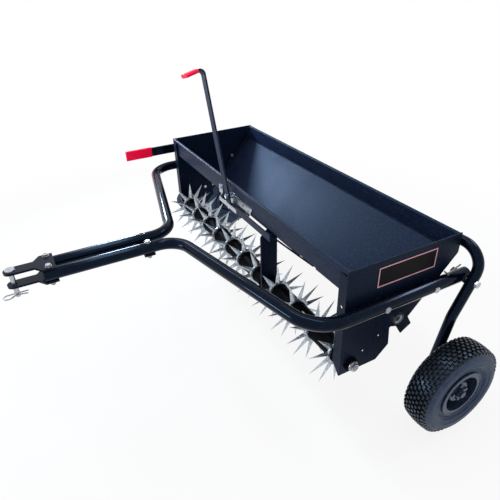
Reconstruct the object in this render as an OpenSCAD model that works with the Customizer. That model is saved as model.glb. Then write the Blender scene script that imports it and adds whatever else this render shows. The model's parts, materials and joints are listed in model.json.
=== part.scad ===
// Tow-behind drop spreader with a star-tine aerator reel.
// Millimetres, +Z up, towed toward -Y, the ground at z = 0 under the transport wheels.

/* [Hopper] */
// Width over the two end plates
hopper_w = 1030; // [960:5:1100]
// Depth from the front lip to the back lip
hopper_d = 325; // [310:1:340]
// Drop from the rim to the flat bottom
hopper_drop = 200; // [190:1:210]
// Height of the upright front strip
front_strip_h = 58; // [50:1:66]
// Height of the upright back strip
back_strip_h = 52; // [44:1:60]
// Width of the flat bottom
bottom_w = 22; // [20:1:30]
// Thickness of the hopper sheet
sheet_t = 2.5; // [2:0.1:3]
// Diameter of the rolled lip
lip_d = 10; // [9:0.5:12]

/* [End plates] */
// Drop from the rim to the foot of an end plate
plate_drop = 288; // [286:1:300]
// Length of the foot
foot_w = 110; // [100:1:118]
// Width of the front return flange
flange_w = 26; // [20:1:32]

/* [Tine reel] */
// Radius to the tips of the tines
star_r = 92; // [80:1:100]
// Spikes on one star
spikes = 11; // [8:1:13]
// Width of a spike at its root
spike_w = 17.5; // [12:0.5:18]
// Radius of the ring on each star
ring_r = 36; // [32:0.5:38]
// Thickness of a star's ring
ring_t = 6; // [4:0.5:8]
// Distance from the end of the hopper to the outermost star
star_margin = 43; // [41:1:50]
// Space between the two stars beside the hanger
hanger_gap = 110; // [90:1:125]
// Width of the hanger
hanger_w = 52; // [44:1:60]
// Diameter of the spools between the stars
spool_d = 52; // [44:1:56]
// Diameter of the axle
axle_d = 19; // [16:0.5:22]
// Distance of the axle in front of the hopper's middle
axle_front = 131; // [124:1:138]

/* [Agitator and chain] */
// Height of the agitator above the underside of the bottom
agitator_up = 20; // [19.5:0.5:24]
// Diameter of the agitator shaft
agitator_d = 12.7; // [10:0.1:14]
// Reach of the agitator paddles
paddle_r = 15; // [12:0.5:16]
// Pitch of the roller chain
chain_p = 12.7; // [12.5:0.1:13]

/* [Drawbar] */
// Diameter of the drawbar tubes
drawbar_d = 31.75; // [28:0.25:34]
// Wall of the drawbar tubes
drawbar_wall = 2; // [1.5:0.1:3]
// Depth of the drawbar below the rim
drawbar_down = 107; // [104:1:110]
// Spacing of the two tongue tubes
tongue_gap = 56; // [48:1:66]
// Distance to the front end of the tongue
tongue_front = 706; // [660:1:740]
// Distance to the corner behind the tongue
tongue_back = 357.5; // [340:0.5:370]
// Distance to the front corner at each side
side_front = 244; // [235:1:255]
// Centreline radius of the tongue bend
tongue_bend_r = 70; // [60:1:80]
// Centreline radius of the side bend
side_bend_r = 90; // [75:1:95]

/* [Hitch] */
// Reach of the clevis pin in front of the tongue tubes
hitch_reach = 70; // [55:1:90]
// Distance from the tongue's front end to the tie bolts
tie_back = 266; // [200:1:300]
// Thickness of the clevis plates
hitch_t = 6; // [4:0.5:8]
// Radius of the clevis end
hitch_r = 16.5; // [15:0.5:20]
// Diameter of the clevis pin
pin_d = 12.7; // [12:0.1:16]

/* [Transport frame and wheels] */
// Diameter of the transport tube
transport_d = 25.4; // [22:0.2:28]
// Wall of the transport tube
transport_wall = 2; // [1.5:0.1:3]
// Depth of the crossbar below the rim
crossbar_down = 27; // [22:1:30]
// Distance of the wheel axis behind the hopper's middle
wheel_back = 90; // [86:1:98]
// Depth of the wheel axis below the rim
wheel_down = 344; // [335:1:360]
// Diameter of the tyres
tyre_d = 246; // [228:1:262]
// Width of the tyres
tyre_w = 80; // [74:1:92]
// Diameter of the rims at the tyre's bead
rim_d = 104; // [98:1:112]
// Space between a transport arm and its tyre
wheel_gap = 11.5; // [8:0.5:16]

/* [Levers] */
// Width of the flow lever
lever_w = 25; // [20:1:30]
// Length of the flow lever above its pivot
lever_len = 360; // [300:5:420]
// Lean of the flow lever
lever_lean = 19.9; // [18:0.1:25]
// Droop of the flow lever's bent top
lever_droop = 14; // [5:1:25]
// Length of the flow grip
flow_grip_len = 38; // [30:1:46]
// Width of the lift handle
handle_w = 32; // [26:1:36]
// Distance to the front end of the lift handle
handle_front = 330; // [280:1:360]
// Length of the lift grip
lift_grip_len = 98; // [80:1:120]

/* [Fits] */
// Clearance on radius where a part turns
run_gap = 0.06; // [0.03:0.01:0.1]
// Clearance on radius around a bolt
bolt_gap = 0.3; // [0.2:0.05:0.6]
// Clearance between parts that move past each other
slip_gap = 0.4; // [0.3:0.05:0.8]

/* [Hidden] */
$fn = 64;
STARS = [for (i = [1:11]) str("tine_star_", i)];

// Where the hopper's rim stands in the whole frame
hitch_y = -(tongue_front + hitch_reach);
rim_z = wheel_down + tyre_d / 2;
clip_reach = 33;
wire_r = 1.6;
hop_y = (clip_reach + wire_r - hitch_y - wheel_back - tyre_d / 2) / 2;

// Hopper section
half_w = hopper_w / 2;
in_w = half_w - sheet_t;
half_d = hopper_d / 2;
wall_y = half_d - lip_d + 3.5;
outlet_y = -3;
tray_line = [[-wall_y, -lip_d / 2], [-wall_y, -front_strip_h], [outlet_y - bottom_w / 2, -hopper_drop],
    [outlet_y + bottom_w / 2, -hopper_drop], [wall_y, -back_strip_h], [wall_y, -lip_d / 2]];
front_rise = (hopper_drop - front_strip_h) / (wall_y + outlet_y - bottom_w / 2);
back_rise = (hopper_drop - back_strip_h) / (wall_y - outlet_y - bottom_w / 2);
function front_z(y) = -front_strip_h - (y + wall_y) * front_rise;
function back_z(y) = -hopper_drop + (y - outlet_y - bottom_w / 2) * back_rise;
slot_n = 14;
slot_p = 66;
slot_l = 13;

// Agitator, axle and chain
agit_y = outlet_y;
agit_z = agitator_up - hopper_drop;
agit_r = agitator_d / 2;
chain_n = 12;
chain_c = chain_n * chain_p;
axle_y = -axle_front;
axle_r = axle_d / 2;
axle_z = agit_z - sqrt(chain_c * chain_c - (agit_y - axle_y) * (agit_y - axle_y));
pitch_r = chain_p / 2 / sin(180 / chain_n);
boss_x = half_w + 9;
chain_x = -(boss_x + 3.9);
chain_u = [agit_y - axle_y, agit_z - axle_z] / chain_c;
chain_v = [-chain_u.y, chain_u.x];
guard_r = pitch_r + 11;
guard_x = half_w + 30;
guard_holes = [[axle_y, axle_z] + chain_u * 41.5, [agit_y, agit_z] - chain_u * 60];

// Reel
star_end = half_w - star_margin;
star_p = (2 * star_end - hanger_gap) / 9;
star_x = [for (i = [0:10]) i < 7 ? -star_end + i * star_p : star_end - (10 - i) * star_p];
hanger_x = (star_x[6] + star_x[7]) / 2;
hanger_t = 5;
bush_half = 10;
bear_in = half_w - 10;

// Drawbar
bar_r = drawbar_d / 2;
bar_z = -drawbar_down;
washer_t = 1;
bar_x = half_w + washer_t + bar_r;
side_back = half_d + 20;
side_bolt_in = 90;
side_bolt_y = half_d - side_bolt_in;
bolt_r = 4;
bolt_in = 16;
plate_back = 32;
plate_side = 10;
pin_low = bar_z - bar_r - hitch_t - 31;

// Transport frame
arm_r = transport_d / 2;
arm_gap = 3.6;
head_t = 2.8;
arm_x = bar_x + bar_r + arm_gap + arm_r;
cross_y = half_d + arm_r + 0.8;
cross_bend = 48;
shoulder_z = -crossbar_down - cross_bend - 10;
shoulder_bend = 40;
knee_run = 52;
knee_drop = 109;
knee_bend = 60;
knee = [cross_y - knee_run, shoulder_z - knee_drop];
pivot_y = cross_y + (bar_z - shoulder_z) * knee_run / knee_drop;
pivot_r = 6.3;
lock_fore = 46;
handle_t = 6;
handle_z = -57;
wheel_y = wheel_back;
wheel_z = -wheel_down;
wheel_x = arm_x + arm_r + wheel_gap + tyre_w / 2;
stub_r = 7.9;
bead_half = tyre_w / 2 - 9;
flange_r = rim_d / 2 + 11;
hub_half = bead_half;
hub_wall = 6;
crown_r = 130;
tyre_wall = 9;
groove_w = 3;
groove_p = 14;
tread_r = tyre_d / 2 - 7;
lugs = 46;
face_r = 27;
face_x = hub_half - 6;
rim_bolt_r = 20.5;

// Flow control
lever_t = 5;
lever_y = -half_d - 5;
lever_px = -34;
lever_pz = -45;
lever_arm = 30;
lever_turn = 30;
lever_foot = 28;
top_r = 15;
top_steps = 12;
top_turn = 90 + lever_droop;
tab_len = 40;
function top_pt(a) = [top_r * cos(a) - top_r, lever_len - top_r + top_r * sin(a)];
lever_line = concat([[0, -lever_foot]], [for (k = [0:top_steps]) top_pt(k * top_turn / top_steps)],
    [top_pt(top_turn) - tab_len * [cos(lever_droop), sin(lever_droop)]]);
flow_travel = lever_arm * (sin(lever_lean) - sin(lever_lean - lever_turn));
peg_x = lever_px + lever_arm * sin(lever_lean);
peg_z = lever_pz - lever_arm * cos(lever_lean);
link_y = lever_y + 1.5;
strap_x = hanger_x + 46;
gate_w = 38;
gate_t = 3;
gate_z = -hopper_drop - 0.3;
gate_half = in_w - 32.5;
guide_half = in_w - 42.5;
bracket_t = 2.5;
bracket_top = -38;
bracket_low = -67;
bracket_w = 130;
bracket_slant = 20;
bracket_ear = 12;
guide_w = 82;
guide_out = 28;
guide_low = -64;
guide_h = 12;
bracket_bolt_x = [-74, 72];
bracket_bolt_z = -46;

// Two-dimensional helpers
function unit(v) = v / norm(v);
function left(v) = [-v.y, v.x];
function side_of(p, i) = i == 0 ? left(unit(p[1] - p[0])) : i == len(p) - 1 ? left(unit(p[i] - p[i - 1])) :
    (left(unit(p[i] - p[i - 1])) + left(unit(p[i + 1] - p[i]))) /
    (1 + unit(p[i] - p[i - 1]) * unit(p[i + 1] - p[i]));
function sheet_pts(p, t) = concat(p, [for (i = [len(p) - 1:-1:0]) p[i] + t * side_of(p, i)]);

module sheet(p, t) {
    polygon(sheet_pts(p, t));
}

// Two round ends with straight sides that lie a hair inside them
module stadium(a, b, r) {
    h = r - 0.02;
    translate(a) circle(r);
    translate(b) circle(r);
    translate(a) rotate(atan2(b.y - a.y, b.x - a.x)) translate([0, -h]) square([norm(b - a), 2 * h]);
}

// Three-dimensional helpers
module at_hopper() {
    translate([0, hop_y, rim_z]) children();
}

module along_x(x0, x1) {
    translate([x0, 0, 0]) rotate([90, 0, 90]) linear_extrude(x1 - x0) children();
}

module rod_x(x0, x1, y, z, r, n = 64) {
    translate([x0, y, z]) rotate([0, 90, 0]) cylinder(h = x1 - x0, r = r, $fn = n);
}

module rod_y(y0, y1, x, z, r, n = 64) {
    translate([x, y1, z]) rotate([90, 0, 0]) cylinder(h = y1 - y0, r = r, $fn = n);
}

module rod_z(z0, z1, x, y, r, n = 64) {
    translate([x, y, z0]) cylinder(h = z1 - z0, r = r, $fn = n);
}

module spin_x(x, y, z) {
    translate([x, y, z]) rotate([0, 90, 0]) rotate_extrude() children();
}

module on_both_sides() {
    children();
    mirror([1, 0, 0]) children();
}

module placed(o, a, b, c) {
    multmatrix([[a.x, b.x, c.x, o.x], [a.y, b.y, c.y, o.y], [a.z, b.z, c.z, o.z], [0, 0, 0, 1]]) children();
}

// A round bar through points p with a centreline bend radius at each inner point.
// Each straight is a hair thicker than its bends and reaches a little way into them.
module bent_bar(p, bend, r) {
    n = len(p);
    way = [for (i = [0:n - 2]) unit(p[i + 1] - p[i])];
    turn = [for (i = [0:n - 1]) i == 0 || i == n - 1 ? 0 : acos(way[i - 1] * way[i])];
    cut = [for (i = [0:n - 1]) bend[i] * tan(turn[i] / 2) - sqrt(0.02 * bend[i])];
    for (i = [0:n - 2]) {
        d = way[i];
        s = unit(abs(d.z) < 0.9 ? cross([0, 0, 1], d) : cross([1, 0, 0], d));
        placed(p[i] + cut[i] * d, s, cross(d, s), d)
            cylinder(h = norm(p[i + 1] - p[i]) - cut[i] - cut[i + 1], r = r + 0.02);
    }
    for (i = [1:n - 2]) {
        d = way[i - 1];
        m = unit(way[i] - (way[i] * d) * d);
        placed(p[i] - bend[i] * tan(turn[i] / 2) * d + bend[i] * m, -m, d, cross(d, m))
            rotate_extrude(angle = turn[i]) translate([bend[i], 0]) circle(r);
    }
}

// Hopper
module hopper_tray() {
    color("#1b1d20") at_hopper() difference() {
        union() {
            along_x(-in_w, in_w) sheet(tray_line, sheet_t);
            along_x(-in_w, -in_w + sheet_t) sheet(tray_line, sheet_t + 8);
            along_x(in_w - sheet_t, in_w) sheet(tray_line, sheet_t + 8);
            rod_x(-in_w, in_w, -half_d + lip_d / 2, -lip_d / 2, lip_d / 2);
            rod_x(-in_w, in_w, half_d - lip_d / 2, -lip_d / 2, lip_d / 2);
        }
        for (i = [0:slot_n - 1])
            translate([(i - (slot_n - 1) / 2) * slot_p, outlet_y, -hopper_drop])
                cube([slot_l, 9, 3 * sheet_t], center = true);
        rod_x(-half_w, half_w, agit_y, agit_z, agit_r + 5);
        rod_y(-half_d, -half_d + 20, lever_px, lever_pz, bolt_r + bolt_gap);
    }
}

module plate_shape() {
    difference() {
        polygon([[-half_d, 0], [-half_d, -plate_drop], [-half_d + foot_w, -plate_drop],
            [-half_d + foot_w + 35, -plate_drop + 34], [agit_y - 19, agit_z - 23],
            [agit_y - 16, agit_z - 20], [agit_y + 2, agit_z - 26], [agit_y + 21, agit_z - 56],
            [agit_y + 51, agit_z - 37], [agit_y + 36, agit_z - 11], [half_d, -back_strip_h],
            [half_d, 0]]);
        translate([axle_y, axle_z]) circle(axle_r + 5.5);
        translate([agit_y, agit_z]) circle(agit_r + 3);
        for (y = [-side_bolt_y, side_bolt_y]) translate([y, bar_z]) circle(bolt_r + bolt_gap);
        for (p = guard_holes) translate(p) circle(3.3);
    }
}

module end_plate() {
    along_x(in_w, half_w) plate_shape();
    translate([0, -half_d + sheet_t, 0]) rotate([90, 0, 0]) linear_extrude(sheet_t) difference() {
        polygon([[in_w + 0.1, -lip_d - 2], [half_w - flange_w, -lip_d - 2],
            [half_w - flange_w, -plate_drop + 28], [in_w + 0.1, -plate_drop]]);
        translate([half_w - flange_w / 2, -95]) circle(4);
    }
}

module end_plate_right() {
    color("#1b1d20") at_hopper() end_plate();
}

module end_plate_left() {
    color("#1b1d20") at_hopper() mirror([1, 0, 0]) end_plate();
}

// Drawbar and hitch
module drawbar_tube() {
    p = [[tongue_gap / 2, -tongue_front, bar_z], [tongue_gap / 2, -tongue_back, bar_z],
        [bar_x, -side_front, bar_z], [bar_x, side_back, bar_z]];
    b = [0, tongue_bend_r, side_bend_r, 0];
    difference() {
        bent_bar(p, b, bar_r);
        bent_bar([p[0] - [0, 1, 0], p[1], p[2], p[3] + [0, 1, 0]], b, bar_r - drawbar_wall);
        for (y = [tongue_front - bolt_in, tongue_front - tie_back])
            rod_z(bar_z - 30, bar_z + 30, tongue_gap / 2, -y, bolt_r + bolt_gap);
        for (y = [-side_bolt_y, side_bolt_y])
            rod_x(bar_x - 30, bar_x + 30, y, bar_z, bolt_r + bolt_gap);
        rod_x(bar_x - 30, bar_x + 30, pivot_y, bar_z, pivot_r + bolt_gap);
        rod_z(bar_z, bar_z + 30, bar_x, pivot_y - lock_fore, 3.3);
    }
}

module drawbar_tube_right() {
    color("#1b1d20") at_hopper() drawbar_tube();
}

module drawbar_tube_left() {
    color("#1b1d20") at_hopper() mirror([1, 0, 0]) drawbar_tube();
}

module hitch_plate(z) {
    w = tongue_gap / 2 + plate_side;
    s = hitch_r - 0.02;
    neck = -tongue_front - 16;
    translate([0, 0, z]) difference() {
        union() {
            linear_extrude(hitch_t)
                polygon([[-w, plate_back - tongue_front], [w, plate_back - tongue_front],
                [w, -tongue_front], [s, neck], [s, hitch_y], [-s, hitch_y], [-s, neck],
                [-w, -tongue_front]]);
            rod_z(0, hitch_t, 0, hitch_y, hitch_r);
        }
        rod_z(-1, hitch_t + 1, 0, hitch_y, pin_d / 2 + slip_gap);
        for (x = [-tongue_gap / 2, tongue_gap / 2])
            rod_z(-1, hitch_t + 1, x, bolt_in - tongue_front, bolt_r + bolt_gap);
    }
}

module hitch_plate_upper() {
    color("#1b1d20") at_hopper() hitch_plate(bar_z + bar_r);
}

module hitch_plate_lower() {
    color("#1b1d20") at_hopper() hitch_plate(bar_z - bar_r - hitch_t);
}

module tongue_tie_plate() {
    w = tongue_gap / 2 + plate_side;
    color("#b9bcc0") at_hopper() translate([0, tie_back - tongue_front, bar_z - bar_r - hitch_t])
        linear_extrude(hitch_t) difference() {
            square([2 * w, 30], center = true);
            for (x = [-tongue_gap / 2, tongue_gap / 2]) translate([x, 0]) circle(bolt_r + bolt_gap);
        }
}

module tongue_bolts() {
    low = bar_z - bar_r - hitch_t;
    color("#b9bcc0") at_hopper() for (x = [-tongue_gap / 2, tongue_gap / 2], k = [0, 1]) {
        y = (k == 0 ? bolt_in : tie_back) - tongue_front;
        top = bar_z + bar_r + (k == 0 ? hitch_t : 0);
        rod_z(low - 10, top + 1, x, y, bolt_r);
        rod_z(top, top + 1.6, x, y, 8);
        rod_z(top + 1.6, top + 6.5, x, y, 7, 6);
        rod_z(low - 6.5, low, x, y, 7, 6);
    }
}

module drawbar_bolts() {
    out = bar_x + bar_r;
    color("#b9bcc0") at_hopper() on_both_sides() for (y = [-side_bolt_y, side_bolt_y]) {
        rod_x(in_w - 9, out + 1, y, bar_z, bolt_r);
        rod_x(out, out + head_t, y, bar_z, 7.5);
        rod_x(in_w - 6.5, in_w, y, bar_z, 7.5, 6);
    }
}

module frame_washers() {
    color("#1b1d20") at_hopper() on_both_sides() {
        for (y = [-side_bolt_y, side_bolt_y]) difference() {
            rod_x(half_w, half_w + washer_t, y, bar_z, 11);
            rod_x(half_w - 1, half_w + washer_t + 1, y, bar_z, bolt_r + bolt_gap);
        }
        difference() {
            rod_x(bar_x + bar_r, bar_x + bar_r + arm_gap - 0.4, pivot_y, bar_z, 12);
            rod_x(bar_x, arm_x, pivot_y, bar_z, pivot_r + bolt_gap);
        }
    }
}

module hitch_pin() {
    top = bar_z + bar_r + hitch_t + slip_gap;
    color("#b9bcc0") at_hopper() difference() {
        union() {
            rod_z(pin_low, top + 1, 0, hitch_y, pin_d / 2);
            rod_z(top, top + 4, 0, hitch_y, pin_d / 2 + 5.5);
        }
        rod_y(hitch_y - 20, hitch_y + 20, 0, pin_low + 8, wire_r + bolt_gap);
    }
}

module hitch_clip() {
    leg = pin_d / 2 + wire_r + slip_gap;
    loop = 19;
    color("#b9bcc0") at_hopper() translate([0, hitch_y, pin_low + 8])
        bent_bar([[0, 26, 0], [0, -clip_reach, 0], [loop, -clip_reach, 0], [loop, 17 - clip_reach, 0],
            [leg, -6, 0], [leg, 5, 0], [leg + 4, 24, 0]], [0, 9, 9, 7, 7, 12, 0], wire_r);
}

// Reel, bearings and hanger
module centre_hanger() {
    y0 = axle_y - hanger_w / 2;
    y1 = axle_y + hanger_w / 2;
    ym = y0 + 24;
    color("#1b1d20") at_hopper() {
        along_x(hanger_x - hanger_t / 2, hanger_x + hanger_t / 2) difference() {
            union() {
                polygon([[ym, front_z(ym)], [y0, front_z(ym) - 24], [y0, axle_z], [y1, axle_z],
                    [y1, front_z(y1)]]);
                translate([axle_y, axle_z]) circle(hanger_w / 2);
            }
            translate([axle_y, axle_z]) circle(axle_r + 4.5);
        }
        along_x(hanger_x - hanger_t / 2 - 36, hanger_x)
            sheet([[y1, front_z(y1)], [ym, front_z(ym)]], 3);
    }
}

module hanger_bush() {
    color("#2a2b2d") at_hopper() difference() {
        union() {
            rod_x(hanger_x - bush_half, hanger_x + bush_half, axle_y, axle_z, axle_r + 4.45);
            rod_x(hanger_x + hanger_t / 2, hanger_x + hanger_t / 2 + 3, axle_y, axle_z, axle_r + 9);
        }
        rod_x(hanger_x - 20, hanger_x + 20, axle_y, axle_z, axle_r + run_gap);
    }
}

module axle_bearings() {
    color("#2a2b2d") at_hopper() on_both_sides() difference() {
        union() {
            rod_x(bear_in, half_w + 1, axle_y, axle_z, axle_r + 5.45);
            rod_x(half_w, half_w + 4, axle_y, axle_z, axle_r + 8.5);
            rod_x(half_w + 4, boss_x, axle_y, axle_z, axle_r + 5);
        }
        rod_x(half_w - 30, half_w + 30, axle_y, axle_z, axle_r + run_gap);
    }
}

module tine_axle() {
    color("#8d9094") at_hopper() {
        rod_x(-boss_x, boss_x, axle_y, axle_z, axle_r);
        rod_x(-boss_x - 7.5, -boss_x, axle_y, axle_z, axle_r - 1.5);
        rod_x(-boss_x - 17, -boss_x - 7.5, axle_y, axle_z, axle_r - 3.5);
        rod_x(boss_x, boss_x + 12, axle_y, axle_z, axle_r - 3.5);
    }
}

module axle_nuts() {
    color("#b9bcc0") at_hopper() {
        difference() {
            union() {
                rod_x(boss_x + 0.4, boss_x + 3, axle_y, axle_z, axle_r + 3.5);
                rod_x(boss_x + 3, boss_x + 10, axle_y, axle_z, axle_r + 1.5, 6);
            }
            rod_x(boss_x, boss_x + 20, axle_y, axle_z, axle_r - 3.4);
        }
        difference() {
            rod_x(-boss_x - 15.5, -boss_x - 7.6, axle_y, axle_z, axle_r + 1.5, 6);
            rod_x(-boss_x - 20, -boss_x - 7, axle_y, axle_z, axle_r - 3.4);
        }
    }
}

module star(i) {
    color("#c3c6c8") at_hopper() translate([star_x[i], axle_y, axle_z]) rotate([i * 47, 0, 0]) {
        rotate([0, 90, 0]) rotate_extrude()
            polygon([[axle_r + 0.2, -ring_t / 2], [ring_r - 2, -ring_t / 2], [ring_r, -ring_t / 2 + 2],
                [ring_r, ring_t / 2 - 2], [ring_r - 2, ring_t / 2], [axle_r + 0.2, ring_t / 2]]);
        for (k = [0:spikes - 1]) rotate([k * 360 / spikes, 0, 0])
            polyhedron(points = [[-2.4, -spike_w / 2, ring_r - 3.5], [4.6, 0, ring_r - 3.5],
                [-2.4, spike_w / 2, ring_r - 3.5], [0.5, 0, ring_r - 3.5], [0.5, 0, star_r]],
                faces = [[4, 1, 0], [4, 2, 1], [4, 3, 2], [4, 0, 3], [1, 3, 0], [2, 3, 1]]);
    }
}

module reel_spools() {
    h = ring_t / 2;
    runs = concat([[-bear_in + slip_gap, star_x[0] - h]],
        [for (i = [0:9]) if (i != 6) [star_x[i] + h, star_x[i + 1] - h]],
        [[star_x[6] + h, hanger_x - bush_half - slip_gap],
        [hanger_x + bush_half + slip_gap, star_x[7] - h], [star_x[10] + h, bear_in - slip_gap]]);
    color("#202124") at_hopper() for (q = runs) spin_x(q[0], axle_y, axle_z)
        polygon([[axle_r + 0.2, 0], [spool_d / 2 + 1.5, 0], [spool_d / 2 + 1.5, 4], [spool_d / 2, 6],
            [spool_d / 2, q[1] - q[0] - 6], [spool_d / 2 + 1.5, q[1] - q[0] - 4],
            [spool_d / 2 + 1.5, q[1] - q[0]], [axle_r + 0.2, q[1] - q[0]]]);
}

// Chain drive and agitator
module sprocket(c, bore) {
    along_x(chain_x - 3.6, chain_x + 3.6) translate(c) difference() {
        circle(pitch_r + 4.2);
        for (k = [0:chain_n - 1]) rotate(atan2(chain_v.y, chain_v.x) + k * 360 / chain_n)
            translate([pitch_r, 0]) {
                circle(4.15);
                polygon([[0, -4.35], [6, -7.2], [6, 7.2], [0, 4.35]]);
            }
        circle(bore);
    }
}

module drive_sprocket() {
    color("#6f7377") at_hopper() sprocket([axle_y, axle_z], axle_r - 1.45);
}

module agitator_sprocket() {
    color("#6f7377") at_hopper() {
        sprocket([agit_y, agit_z], agit_r + 0.05);
        difference() {
            rod_x(chain_x + 3.6, -half_w - 4.4, agit_y, agit_z, agit_r + 5);
            rod_x(chain_x, -half_w, agit_y, agit_z, agit_r + 0.05);
        }
    }
}

function chain_pt(k) = k < 12 ? [axle_y, axle_z] + chain_v * pitch_r + chain_u * chain_p * k :
    k < 18 ? [agit_y, agit_z] + pitch_r * (chain_v * cos(30 * (k - 12)) + chain_u * sin(30 * (k - 12))) :
    k < 30 ? [agit_y, agit_z] - chain_v * pitch_r - chain_u * chain_p * (k - 18) :
    k < 36 ? [axle_y, axle_z] - pitch_r * (chain_v * cos(30 * (k - 30)) + chain_u * sin(30 * (k - 30))) :
    chain_pt(k - 36);

module chain_plate(a, b, x) {
    along_x(chain_x + x, chain_x + x + 1.5) {
        translate(a) circle(5.6);
        translate(b) circle(5.6);
        translate(a) rotate(atan2(b.y - a.y, b.x - a.x)) translate([0, -4.2]) square([norm(b - a), 8.4]);
    }
}

module drive_chain() {
    color("#5c5f63") at_hopper() for (k = [0:35]) {
        a = chain_pt(k);
        b = chain_pt(k + 1);
        if (k % 2 == 0) {
            chain_plate(a, b, 5.7);
            chain_plate(a, b, -7.2);
            for (q = [a, b]) rod_x(chain_x - 8, chain_x + 8, q.x, q.y, 1.98);
        } else difference() {
            union() {
                chain_plate(a, b, 4);
                chain_plate(a, b, -5.5);
                for (q = [a, b]) rod_x(chain_x - 4.5, chain_x + 4.5, q.x, q.y, 3.9);
            }
            for (q = [a, b]) rod_x(chain_x - 8, chain_x + 8, q.x, q.y, 2.1);
        }
    }
}

module chain_guard() {
    a = [axle_y, axle_z];
    b = [agit_y, agit_z];
    color("#1b1d20") at_hopper() difference() {
        along_x(-guard_x, -half_w) stadium(a, b, guard_r);
        along_x(-guard_x + 2.5, -half_w + 1) stadium(a, b, guard_r - 2.5);
        for (p = guard_holes) rod_x(-guard_x - 1, -guard_x + 4, p.x, p.y, 3.3);
    }
}

module guard_bolts() {
    color("#b9bcc0") at_hopper() for (p = guard_holes) {
        rod_x(-guard_x - 1, -in_w + 8, p.x, p.y, 3);
        rod_x(-guard_x - 4.5, -guard_x, p.x, p.y, 5.8, 6);
        rod_x(-in_w, -in_w + 5, p.x, p.y, 5.8, 6);
    }
}

module agitator_bushes() {
    color("#b9bcc0") at_hopper() difference() {
        union() {
            on_both_sides() rod_x(in_w - 4, half_w + 1, agit_y, agit_z, agit_r + 2.9);
            rod_x(-half_w - 4, -half_w, agit_y, agit_z, agit_r + 6.5);
            rod_x(half_w, half_w + 6, agit_y, agit_z, agit_r + 9.5);
        }
        rod_x(half_w + 2.5, half_w + 7, agit_y, agit_z, agit_r + 5);
        rod_x(-half_w - 30, half_w + 30, agit_y, agit_z, agit_r + run_gap);
    }
}

module agitator_shaft() {
    color("#8d9094") at_hopper() {
        rod_x(chain_x - 6, half_w + 4, agit_y, agit_z, agit_r);
        for (i = [0:15]) translate([(i - 7.5) * 62, agit_y, agit_z]) rotate([i * 90, 0, 0])
            cube([14, 4, 2 * paddle_r], center = true);
    }
}

// Closure and flow control
module closure_guides() {
    y = gate_w / 2 + slip_gap;
    low = gate_z - gate_t - slip_gap;
    color("#1b1d20") at_hopper() {
        along_x(-guide_half, guide_half) polygon([[outlet_y + y, back_z(outlet_y + y)],
            [outlet_y + y + 2.5, back_z(outlet_y + y + 2.5)], [outlet_y + y + 2.5, low - 2.5],
            [outlet_y + y - 8, low - 2.5], [outlet_y + y - 8, low], [outlet_y + y, low]]);
        for (q = [[-guide_half, strap_x - 50], [strap_x + 35, guide_half]]) along_x(q[0], q[1])
            polygon([[outlet_y - y, front_z(outlet_y - y)],
            [outlet_y - y - 2.5, front_z(outlet_y - y - 2.5)], [outlet_y - y - 2.5, low - 2.5],
            [outlet_y - y + 8, low - 2.5], [outlet_y - y + 8, low], [outlet_y - y, low]]);
    }
}

module closure_plate() {
    color("#9fa2a6") at_hopper() difference() {
        translate([-gate_half, outlet_y - gate_w / 2, gate_z - gate_t]) cube([2 * gate_half, gate_w, gate_t]);
        for (i = [0:slot_n - 1])
            translate([(i - (slot_n - 1) / 2) * slot_p + flow_travel, outlet_y, gate_z])
                cube([slot_l, 9, 3 * gate_t], center = true);
    }
}

module flow_link() {
    foot = gate_z - gate_t;
    bend_z = peg_z - 7.7;
    run = outlet_y - gate_w / 2 - 2.5;
    color("#26282b") at_hopper() {
        difference() {
            along_x(peg_x - 10, strap_x + 20) translate([link_y, peg_z - 9]) square([4, 19]);
            translate([peg_x, link_y + 2, peg_z - 1]) cube([2 * (3 + slip_gap), 20, 11], center = true);
        }
        along_x(strap_x - 20, strap_x + 20) sheet([[link_y, peg_z], [link_y, bend_z],
            [run + (bend_z - foot + 3) / -front_rise, bend_z], [run, foot - 3],
            [outlet_y + 5, foot - 3]], 3);
    }
}

module flow_bracket() {
    y = -wall_y - bracket_t;
    x = bracket_bolt_x[0];
    ear = bracket_ear;
    front = -wall_y - guide_out;
    color("#b9bcc0") at_hopper() translate([lever_px, 0, 0]) difference() {
        union() {
            translate([0, y + bracket_t, 0]) rotate([90, 0, 0]) linear_extrude(bracket_t)
                polygon([[-ear, bracket_top], [bracket_w, bracket_top],
                [bracket_w - bracket_slant, bracket_low], [-ear, bracket_low]]);
            translate([x - ear, y, guide_low]) cube([2 * ear, bracket_t, bracket_top - guide_low]);
            translate([0, 0, guide_low]) linear_extrude(guide_h)
                sheet([[x, y], [x + 16, y], [x + 44, front], [guide_w, front]], bracket_t);
        }
        rod_y(y - 20, y + 20, 0, lever_pz, bolt_r + bolt_gap);
        for (p = [[bracket_w - 46, -58], [bracket_w - 23, -50]]) rod_y(y - 20, y + 20, p.x, p.y, 3);
    }
}

module bracket_bolts() {
    y = -wall_y - bracket_t;
    color("#d5d7da") at_hopper() for (x = bracket_bolt_x)
        rod_y(y - 3.5, y, lever_px + x, bracket_bolt_z, 5.5);
}

module lever_pivot_bolt() {
    y = -wall_y;
    color("#b9bcc0") at_hopper() {
        rod_y(lever_y - lever_t - 1, y + sheet_t + 7, lever_px, lever_pz, bolt_r);
        rod_y(lever_y - lever_t - 6, lever_y - lever_t - slip_gap, lever_px, lever_pz, 7.5, 6);
        rod_y(y + sheet_t, y + sheet_t + 6, lever_px, lever_pz, 7.5, 6);
        rod_y(lever_y + slip_gap, y - bracket_t, lever_px, lever_pz, 8);
    }
}

module at_lever() {
    at_hopper() translate([lever_px, lever_y, lever_pz]) rotate([0, -lever_lean, 0]) children();
}

module at_lever_top() {
    translate([0, -top_r, lever_len - top_r]) rotate([0, -90, 0]) translate([0, 0, -lever_w / 2])
        rotate(-lever_droop) children();
}

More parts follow.
